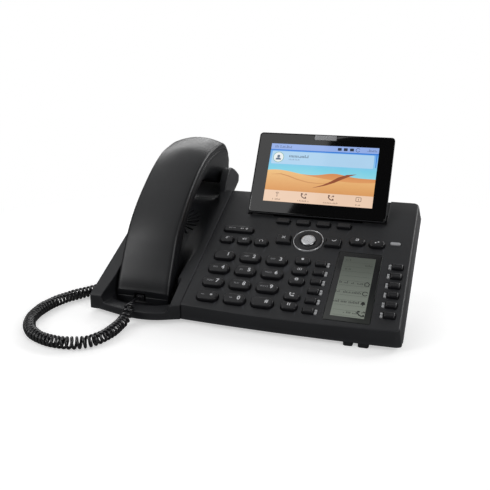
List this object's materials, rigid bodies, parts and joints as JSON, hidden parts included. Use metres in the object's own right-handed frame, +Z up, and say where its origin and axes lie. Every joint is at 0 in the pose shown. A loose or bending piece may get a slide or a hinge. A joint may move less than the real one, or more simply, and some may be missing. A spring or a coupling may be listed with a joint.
{
  "type": "desk ip phone",
  "caption": "Corded desk phone with a tilting colour display, a key-label display beside line keys, dial keys, a navigation ring and a coiled handset cord, on a foot stand.",
  "frame": {"origin": "middle of the foot stand's flat foot, on the desk", "axes": "+X to the user's right along the width, +Y away from the user, +Z up; the key panel slopes up 28 degrees towards +Y"},
  "size_m": [0.2876, 0.2417, 0.1359],
  "materials": {
    "body": "fine-grained charcoal ABS",
    "keys": "satin black",
    "handset": "satin charcoal",
    "screen_glass": "glossy, black border behind the glass",
    "display": "lit colour panel",
    "label_display": "grey-green reflective panel with a dark border",
    "lamp_window": "translucent light grey",
    "bright_trim": "bright, brushed on the centre key",
    "cord": "glossy black PVC",
    "board": "green laminate",
    "speaker": "plain"
  },
  "bodies": {
    "base": {"key_cover": "body", "cradle_cover": "body", "bottom_cover": "body", "foot_stand": "body", "nav_ring": "bright_trim", "light_guide": "lamp_window", "key_display": "label_display", "circuit_board": "board", "loudspeaker": "speaker", "handset_cord": "cord"},
    "screen_unit": {"screen_housing": "body", "screen_glass": "screen_glass", "main_display": "display", "message_lamp": "lamp_window"},
    "handset": {"handset_outer_shell": "handset", "handset_inner_shell": "handset"},
    "hook": {"hook_lever": "keys"},
    "volume": {"volume_rocker": "keys"},
    "navigation": {"nav_rocker": "keys"},
    "dial_key_1": {"dial_key_1": "keys"},
    "dial_key_2": {"dial_key_2": "keys"},
    "dial_key_3": {"dial_key_3": "keys"},
    "dial_key_4": {"dial_key_4": "keys"},
    "dial_key_5": {"dial_key_5": "keys"},
    "dial_key_6": {"dial_key_6": "keys"},
    "dial_key_7": {"dial_key_7": "keys"},
    "dial_key_8": {"dial_key_8": "keys"},
    "dial_key_9": {"dial_key_9": "keys"},
    "dial_key_star": {"dial_key_star": "keys"},
    "dial_key_0": {"dial_key_0": "keys"},
    "dial_key_hash": {"dial_key_hash": "keys"},
    "mute_key": {"mute_key": "keys"},
    "speaker_key": {"speaker_key": "keys"},
    "headset_key": {"headset_key": "keys"},
    "message_key": {"message_key": "keys"},
    "dnd_key": {"dnd_key": "keys"},
    "menu_key": {"menu_key": "keys"},
    "redial_key": {"redial_key": "keys"},
    "hold_key": {"hold_key": "keys"},
    "soft_key_1": {"soft_key_1": "keys"},
    "soft_key_2": {"soft_key_2": "keys"},
    "soft_key_3": {"soft_key_3": "keys"},
    "soft_key_4": {"soft_key_4": "keys"},
    "directory_key": {"directory_key": "keys"},
    "transfer_key": {"transfer_key": "keys"},
    "cancel_key": {"cancel_key": "keys"},
    "confirm_key": {"confirm_key": "keys"},
    "nav_ok_key": {"nav_ok_key": "bright_trim"},
    "line_key_left_1": {"line_key_left_1": "keys"},
    "line_key_left_2": {"line_key_left_2": "keys"},
    "line_key_left_3": {"line_key_left_3": "keys"},
    "line_key_left_4": {"line_key_left_4": "keys"},
    "line_key_left_5": {"line_key_left_5": "keys"},
    "line_key_left_6": {"line_key_left_6": "keys"},
    "line_key_right_1": {"line_key_right_1": "keys"},
    "line_key_right_2": {"line_key_right_2": "keys"},
    "line_key_right_3": {"line_key_right_3": "keys"},
    "line_key_right_4": {"line_key_right_4": "keys"},
    "line_key_right_5": {"line_key_right_5": "keys"},
    "line_key_right_6": {"line_key_right_6": "keys"}
  },
  "joints": [
    {"name": "screen_tilt", "type": "hinge", "parent": "base", "child": "screen_unit", "pos_m": [0.03985, 0.03124, 0.06715], "axis": [1, 0, 0], "range_deg": [-25, 3]},
    {"name": "handset_lift", "type": "slide", "parent": "base", "child": "handset", "axis": [0, -0.4695, 0.8829], "range_m": [0, 0.12]},
    {"name": "hook_lever_pivot", "type": "hinge", "parent": "base", "child": "hook", "pos_m": [-0.08395, -0.03153, 0.01905], "axis": [1, 0, 0], "range_deg": [-14, 0]},
    {"name": "volume_rocker_tilt", "type": "hinge", "parent": "base", "child": "volume", "pos_m": [-0.02205, -0.00219, 0.05504], "axis": [0, 0.8829, 0.4695], "range_deg": [-3, 3], "stiffness_Nm_per_rad": 0.05},
    {"name": "nav_rocker_tilt", "type": "hinge", "parent": "base", "child": "navigation", "pos_m": [0.04015, -0.00781, 0.05426], "axis": [1, 0, 0], "range_deg": [-3, 3], "stiffness_Nm_per_rad": 0.05},
    {"name": "dial_key_1_press", "type": "slide", "parent": "base", "child": "dial_key_1", "axis": [0, 0.4695, -0.8829], "range_m": [0, 0.0012], "stiffness_N_per_m": 250, "springref_m": -0.0006},
    {"name": "dial_key_2_press", "type": "slide", "parent": "base", "child": "dial_key_2", "axis": [0, 0.4695, -0.8829], "range_m": [0, 0.0012], "stiffness_N_per_m": 250, "springref_m": -0.0006},
    {"name": "dial_key_3_press", "type": "slide", "parent": "base", "child": "dial_key_3", "axis": [0, 0.4695, -0.8829], "range_m": [0, 0.0012], "stiffness_N_per_m": 250, "springref_m": -0.0006},
    {"name": "dial_key_4_press", "type": "slide", "parent": "base", "child": "dial_key_4", "axis": [0, 0.4695, -0.8829], "range_m": [0, 0.0012], "stiffness_N_per_m": 250, "springref_m": -0.0006},
    {"name": "dial_key_5_press", "type": "slide", "parent": "base", "child": "dial_key_5", "axis": [0, 0.4695, -0.8829], "range_m": [0, 0.0012], "stiffness_N_per_m": 250, "springref_m": -0.0006},
    {"name": "dial_key_6_press", "type": "slide", "parent": "base", "child": "dial_key_6", "axis": [0, 0.4695, -0.8829], "range_m": [0, 0.0012], "stiffness_N_per_m": 250, "springref_m": -0.0006},
    {"name": "dial_key_7_press", "type": "slide", "parent": "base", "child": "dial_key_7", "axis": [0, 0.4695, -0.8829], "range_m": [0, 0.0012], "stiffness_N_per_m": 250, "springref_m": -0.0006},
    {"name": "dial_key_8_press", "type": "slide", "parent": "base", "child": "dial_key_8", "axis": [0, 0.4695, -0.8829], "range_m": [0, 0.0012], "stiffness_N_per_m": 250, "springref_m": -0.0006},
    {"name": "dial_key_9_press", "type": "slide", "parent": "base", "child": "dial_key_9", "axis": [0, 0.4695, -0.8829], "range_m": [0, 0.0012], "stiffness_N_per_m": 250, "springref_m": -0.0006},
    {"name": "dial_key_star_press", "type": "slide", "parent": "base", "child": "dial_key_star", "axis": [0, 0.4695, -0.8829], "range_m": [0, 0.0012], "stiffness_N_per_m": 250, "springref_m": -0.0006},
    {"name": "dial_key_0_press", "type": "slide", "parent": "base", "child": "dial_key_0", "axis": [0, 0.4695, -0.8829], "range_m": [0, 0.0012], "stiffness_N_per_m": 250, "springref_m": -0.0006},
    {"name": "dial_key_hash_press", "type": "slide", "parent": "base", "child": "dial_key_hash", "axis": [0, 0.4695, -0.8829], "range_m": [0, 0.0012], "stiffness_N_per_m": 250, "springref_m": -0.0006},
    {"name": "mute_key_press", "type": "slide", "parent": "base", "child": "mute_key", "axis": [0, 0.4695, -0.8829], "range_m": [0, 0.0012], "stiffness_N_per_m": 250, "springref_m": -0.0006},
    {"name": "speaker_key_press", "type": "slide", "parent": "base", "child": "speaker_key", "axis": [0, 0.4695, -0.8829], "range_m": [0, 0.0012], "stiffness_N_per_m": 250, "springref_m": -0.0006},
    {"name": "headset_key_press", "type": "slide", "parent": "base", "child": "headset_key", "axis": [0, 0.4695, -0.8829], "range_m": [0, 0.0012], "stiffness_N_per_m": 250, "springref_m": -0.0006},
    {"name": "message_key_press", "type": "slide", "parent": "base", "child": "message_key", "axis": [0, 0.4695, -0.8829], "range_m": [0, 0.0012], "stiffness_N_per_m": 250, "springref_m": -0.0006},
    {"name": "dnd_key_press", "type": "slide", "parent": "base", "child": "dnd_key", "axis": [0, 0.4695, -0.8829], "range_m": [0, 0.0012], "stiffness_N_per_m": 250, "springref_m": -0.0006},
    {"name": "menu_key_press", "type": "slide", "parent": "base", "child": "menu_key", "axis": [0, 0.4695, -0.8829], "range_m": [0, 0.0012], "stiffness_N_per_m": 250, "springref_m": -0.0006},
    {"name": "redial_key_press", "type": "slide", "parent": "base", "child": "redial_key", "axis": [0, 0.4695, -0.8829], "range_m": [0, 0.0012], "stiffness_N_per_m": 250, "springref_m": -0.0006},
    {"name": "hold_key_press", "type": "slide", "parent": "base", "child": "hold_key", "axis": [0, 0.4695, -0.8829], "range_m": [0, 0.0012], "stiffness_N_per_m": 250, "springref_m": -0.0006},
    {"name": "soft_key_1_press", "type": "slide", "parent": "base", "child": "soft_key_1", "axis": [0, 0.4695, -0.8829], "range_m": [0, 0.0012], "stiffness_N_per_m": 250, "springref_m": -0.0006},
    {"name": "soft_key_2_press", "type": "slide", "parent": "base", "child": "soft_key_2", "axis": [0, 0.4695, -0.8829], "range_m": [0, 0.0012], "stiffness_N_per_m": 250, "springref_m": -0.0006},
    {"name": "soft_key_3_press", "type": "slide", "parent": "base", "child": "soft_key_3", "axis": [0, 0.4695, -0.8829], "range_m": [0, 0.0012], "stiffness_N_per_m": 250, "springref_m": -0.0006},
    {"name": "soft_key_4_press", "type": "slide", "parent": "base", "child": "soft_key_4", "axis": [0, 0.4695, -0.8829], "range_m": [0, 0.0012], "stiffness_N_per_m": 250, "springref_m": -0.0006},
    {"name": "directory_key_press", "type": "slide", "parent": "base", "child": "directory_key", "axis": [0, 0.4695, -0.8829], "range_m": [0, 0.0012], "stiffness_N_per_m": 250, "springref_m": -0.0006},
    {"name": "transfer_key_press", "type": "slide", "parent": "base", "child": "transfer_key", "axis": [0, 0.4695, -0.8829], "range_m": [0, 0.0012], "stiffness_N_per_m": 250, "springref_m": -0.0006},
    {"name": "cancel_key_press", "type": "slide", "parent": "base", "child": "cancel_key", "axis": [0, 0.4695, -0.8829], "range_m": [0, 0.0012], "stiffness_N_per_m": 250, "springref_m": -0.0006},
    {"name": "confirm_key_press", "type": "slide", "parent": "base", "child": "confirm_key", "axis": [0, 0.4695, -0.8829], "range_m": [0, 0.0012], "stiffness_N_per_m": 250, "springref_m": -0.0006},
    {"name": "nav_ok_key_press", "type": "slide", "parent": "base", "child": "nav_ok_key", "axis": [0, 0.4695, -0.8829], "range_m": [0, 0.0012], "stiffness_N_per_m": 250, "springref_m": -0.0006},
    {"name": "line_key_left_1_press", "type": "slide", "parent": "base", "child": "line_key_left_1", "axis": [0, 0.4695, -0.8829], "range_m": [0, 0.0012], "stiffness_N_per_m": 250, "springref_m": -0.0006},
    {"name": "line_key_left_2_press", "type": "slide", "parent": "base", "child": "line_key_left_2", "axis": [0, 0.4695, -0.8829], "range_m": [0, 0.0012], "stiffness_N_per_m": 250, "springref_m": -0.0006},
    {"name": "line_key_left_3_press", "type": "slide", "parent": "base", "child": "line_key_left_3", "axis": [0, 0.4695, -0.8829], "range_m": [0, 0.0012], "stiffness_N_per_m": 250, "springref_m": -0.0006},
    {"name": "line_key_left_4_press", "type": "slide", "parent": "base", "child": "line_key_left_4", "axis": [0, 0.4695, -0.8829], "range_m": [0, 0.0012], "stiffness_N_per_m": 250, "springref_m": -0.0006},
    {"name": "line_key_left_5_press", "type": "slide", "parent": "base", "child": "line_key_left_5", "axis": [0, 0.4695, -0.8829], "range_m": [0, 0.0012], "stiffness_N_per_m": 250, "springref_m": -0.0006},
    {"name": "line_key_left_6_press", "type": "slide", "parent": "base", "child": "line_key_left_6", "axis": [0, 0.4695, -0.8829], "range_m": [0, 0.0012], "stiffness_N_per_m": 250, "springref_m": -0.0006},
    {"name": "line_key_right_1_press", "type": "slide", "parent": "base", "child": "line_key_right_1", "axis": [0, 0.4695, -0.8829], "range_m": [0, 0.0012], "stiffness_N_per_m": 250, "springref_m": -0.0006},
    {"name": "line_key_right_2_press", "type": "slide", "parent": "base", "child": "line_key_right_2", "axis": [0, 0.4695, -0.8829], "range_m": [0, 0.0012], "stiffness_N_per_m": 250, "springref_m": -0.0006},
    {"name": "line_key_right_3_press", "type": "slide", "parent": "base", "child": "line_key_right_3", "axis": [0, 0.4695, -0.8829], "range_m": [0, 0.0012], "stiffness_N_per_m": 250, "springref_m": -0.0006},
    {"name": "line_key_right_4_press", "type": "slide", "parent": "base", "child": "line_key_right_4", "axis": [0, 0.4695, -0.8829], "range_m": [0, 0.0012], "stiffness_N_per_m": 250, "springref_m": -0.0006},
    {"name": "line_key_right_5_press", "type": "slide", "parent": "base", "child": "line_key_right_5", "axis": [0, 0.4695, -0.8829], "range_m": [0, 0.0012], "stiffness_N_per_m": 250, "springref_m": -0.0006},
    {"name": "line_key_right_6_press", "type": "slide", "parent": "base", "child": "line_key_right_6", "axis": [0, 0.4695, -0.8829], "range_m": [0, 0.0012], "stiffness_N_per_m": 250, "springref_m": -0.0006}
  ],
  "couplings": [
    {"joint": "hook_lever_pivot", "follows": "handset_lift", "rad_per_m": -2.0217}
  ]
}
